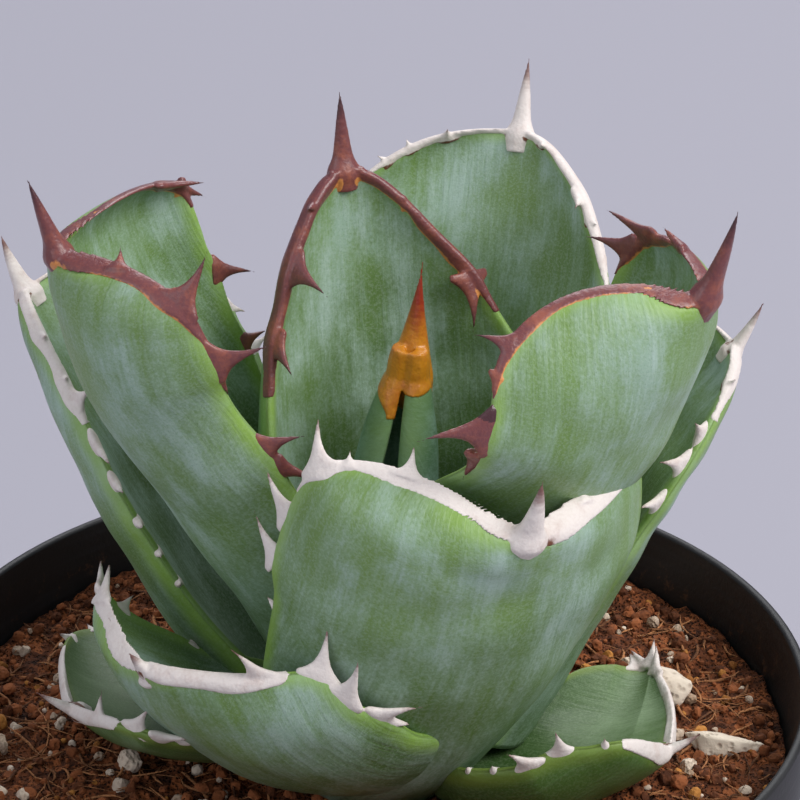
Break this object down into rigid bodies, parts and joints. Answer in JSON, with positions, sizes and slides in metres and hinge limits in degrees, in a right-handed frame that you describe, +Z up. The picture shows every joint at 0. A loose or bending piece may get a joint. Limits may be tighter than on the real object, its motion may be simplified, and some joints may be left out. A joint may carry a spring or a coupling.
{
  "type": "potted agave",
  "caption": "Young rosette succulent with thick cupped leaves, horny toothed edges and end spines, growing in gritty soil in a round thin-walled plastic pot.",
  "frame": {"origin": "centre of the pot's underside", "axes": "+Z up along the pot's axis, -Y towards the side the picture was taken from, +X to its right"},
  "size_m": [0.105, 0.105, 0.1626],
  "materials": {
    "stem_fibre": "dry pale fibrous caudex",
    "leaf_young": "waxy blue-green leaf with a powdery bloom",
    "leaf_glaucous": "waxy blue-green leaf, rubbed green in patches",
    "leaf_old": "older leaf, mid green and worn at the edges",
    "horn_amber": "fresh semi-gloss amber horn",
    "horn_brown": "semi-gloss maroon-brown horn with orange edges",
    "horn_pale": "weathered chalky white horn with brown outlines",
    "pot_plastic": "thin matt black nursery pot",
    "soil_mix": "loose coco fibre with pumice grains"
  },
  "bodies": {
    "root": {"stem": "stem_fibre", "leaf_01": "leaf_young", "horn_01": "horn_amber", "leaf_02": "leaf_glaucous", "horn_02": "horn_brown", "leaf_03": "leaf_glaucous", "horn_03": "horn_brown", "leaf_04": "leaf_glaucous", "horn_04": "horn_brown", "leaf_05": "leaf_glaucous", "horn_05": "horn_pale", "leaf_06": "leaf_glaucous", "horn_06": "horn_pale", "leaf_07": "leaf_glaucous", "horn_07": "horn_pale", "leaf_08": "leaf_glaucous", "horn_08": "horn_pale", "leaf_09": "leaf_glaucous", "horn_09": "horn_pale", "leaf_10": "leaf_glaucous", "horn_10": "horn_pale", "leaf_11": "leaf_old", "horn_11": "horn_pale", "leaf_12": "leaf_old", "horn_12": "horn_pale", "leaf_13": "leaf_old", "horn_13": "horn_pale", "pot": "pot_plastic", "soil": "soil_mix"}
  },
  "joints": []
}
